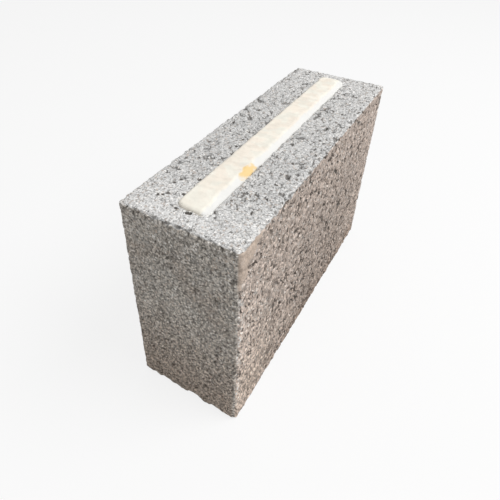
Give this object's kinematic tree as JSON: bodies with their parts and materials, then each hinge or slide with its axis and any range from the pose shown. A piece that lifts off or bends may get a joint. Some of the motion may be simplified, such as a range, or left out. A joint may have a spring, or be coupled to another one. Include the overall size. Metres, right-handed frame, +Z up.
{
  "type": "insulated concrete block",
  "caption": "Solid-faced lightweight concrete block with a long slot in its top, filled by a pale rigid foam insert that stands slightly proud.",
  "frame": {"origin": "middle of the underside, on the lower bed face's plane", "axes": "+X along the block's length, +Y across its width, +Z up; the block stands on its lower bed face"},
  "size_m": [0.3, 0.1, 0.2035],
  "materials": {
    "concrete": "rough, open-pored, dusty grey",
    "foam": "matt cream rigid foam"
  },
  "bodies": {
    "root": {"concrete_block": "concrete", "insulation_insert": "foam"}
  },
  "joints": []
}
